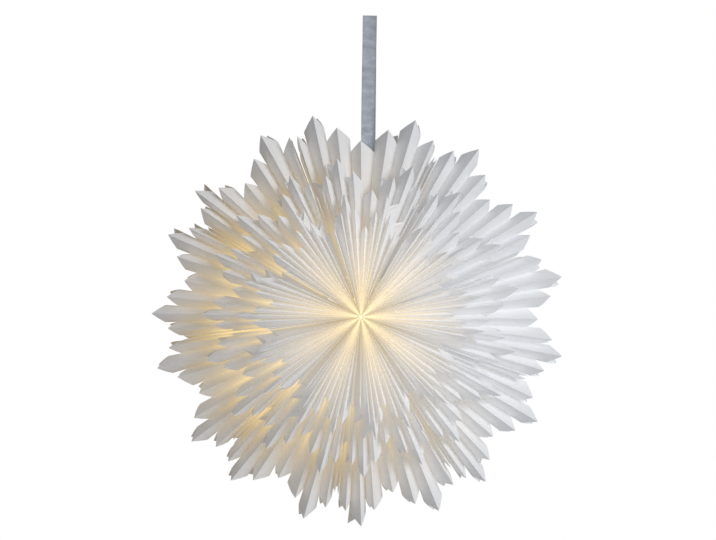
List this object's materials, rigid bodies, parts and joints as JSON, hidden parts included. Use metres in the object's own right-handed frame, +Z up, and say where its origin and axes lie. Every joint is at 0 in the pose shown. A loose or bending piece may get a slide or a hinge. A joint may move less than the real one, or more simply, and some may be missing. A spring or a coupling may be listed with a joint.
{
  "type": "paper advent star",
  "caption": "Hanging lamp star of white pleated paper bags in spiked rows, with a ribbon loop, a lamp holder and a bulb inside.",
  "frame": {"origin": "inside the top of the ribbon loop, where a hook would carry it", "axes": "+Z up along the ribbon, +Y to the back of the star, which faces -Y, +X to the right seen from the front"},
  "size_m": [0.436, 0.193, 0.5445],
  "materials": {
    "star_paper": "matt white paper, translucent, lit warm from inside",
    "ribbon": "grey-blue woven ribbon with a slight sheen",
    "card": "white card",
    "holder_plastic": "white moulded plastic",
    "shell_brass": "plain brass",
    "bulb_opal": "opal bulb, lit"
  },
  "bodies": {
    "root": {"segment_1": "star_paper", "segment_2": "star_paper", "segment_3": "star_paper", "segment_4": "star_paper", "segment_5": "star_paper", "segment_6": "star_paper", "segment_7": "star_paper", "segment_8": "star_paper", "segment_9": "star_paper", "hanging_ribbon": "ribbon", "back_card": "card", "lamp_holder": "holder_plastic", "screw_shell": "shell_brass", "shade_ring": "holder_plastic", "bulb": "bulb_opal"}
  },
  "joints": []
}
